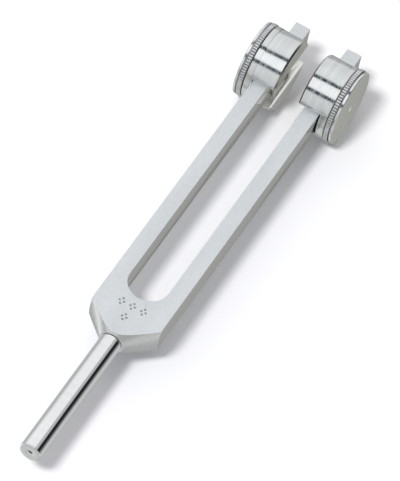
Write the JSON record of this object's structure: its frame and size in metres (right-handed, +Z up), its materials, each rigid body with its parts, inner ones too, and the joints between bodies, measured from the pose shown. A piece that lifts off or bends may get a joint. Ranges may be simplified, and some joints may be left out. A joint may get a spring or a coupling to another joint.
{
  "type": "weighted tuning fork",
  "caption": "Two-tine aluminium tuning fork with a turned handle rod and a round slotted clamp weight held near each tine tip by a knurled thumb screw.",
  "frame": {"origin": "centre of the handle rod's free end", "axes": "+X across the tines, from the left tine to the right tine; +Y along the handle towards the tine tips; +Z up out of the fork's front face, the fork lying flat"},
  "size_m": [0.045, 0.239, 0.0322],
  "materials": {
    "fork_satin": "fine satin, brushed along the tines",
    "handle_polished": "polished, turned",
    "drum_turned": "turned, fine rings",
    "screw_turned": "turned, straight knurl on the edge",
    "pin_steel": "ground",
    "pad_brass": "turned"
  },
  "bodies": {
    "fork": {"fork_body": "fork_satin", "handle_rod": "handle_polished"},
    "weight_left": {"drum_left": "drum_turned", "keeper_pin_left_low": "pin_steel", "keeper_pin_left_high": "pin_steel"},
    "weight_right": {"drum_right": "drum_turned", "keeper_pin_right_low": "pin_steel", "keeper_pin_right_high": "pin_steel"},
    "pad_left": {"clamp_pad_left": "pad_brass"},
    "pad_right": {"clamp_pad_right": "pad_brass"},
    "screw_left": {"thumb_screw_left": "screw_turned"},
    "screw_right": {"thumb_screw_right": "screw_turned"}
  },
  "joints": [
    {"name": "weight_left_slide", "type": "slide", "parent": "fork", "child": "weight_left", "axis": [0, 1, 0], "range_m": [-0.115, 0.005]},
    {"name": "weight_right_slide", "type": "slide", "parent": "fork", "child": "weight_right", "axis": [0, 1, 0], "range_m": [-0.115, 0.005]},
    {"name": "pad_left_travel", "type": "slide", "parent": "weight_left", "child": "pad_left", "axis": [-1, 0, 0], "range_m": [0, 0.00084]},
    {"name": "pad_right_travel", "type": "slide", "parent": "weight_right", "child": "pad_right", "axis": [1, 0, 0], "range_m": [0, 0.00084]},
    {"name": "screw_left_turn", "type": "hinge", "parent": "pad_left", "child": "screw_left", "pos_m": [-0.02, 0.217, 0], "axis": [-1, 0, 0], "range_deg": [0, 300]},
    {"name": "screw_right_turn", "type": "hinge", "parent": "pad_right", "child": "screw_right", "pos_m": [0.02, 0.217, 0], "axis": [1, 0, 0], "range_deg": [0, 300]}
  ],
  "couplings": [
    {"joint": "pad_left_travel", "follows": "screw_left_turn", "m_per_rad": 0.00015915},
    {"joint": "pad_right_travel", "follows": "screw_right_turn", "m_per_rad": 0.00015915}
  ]
}
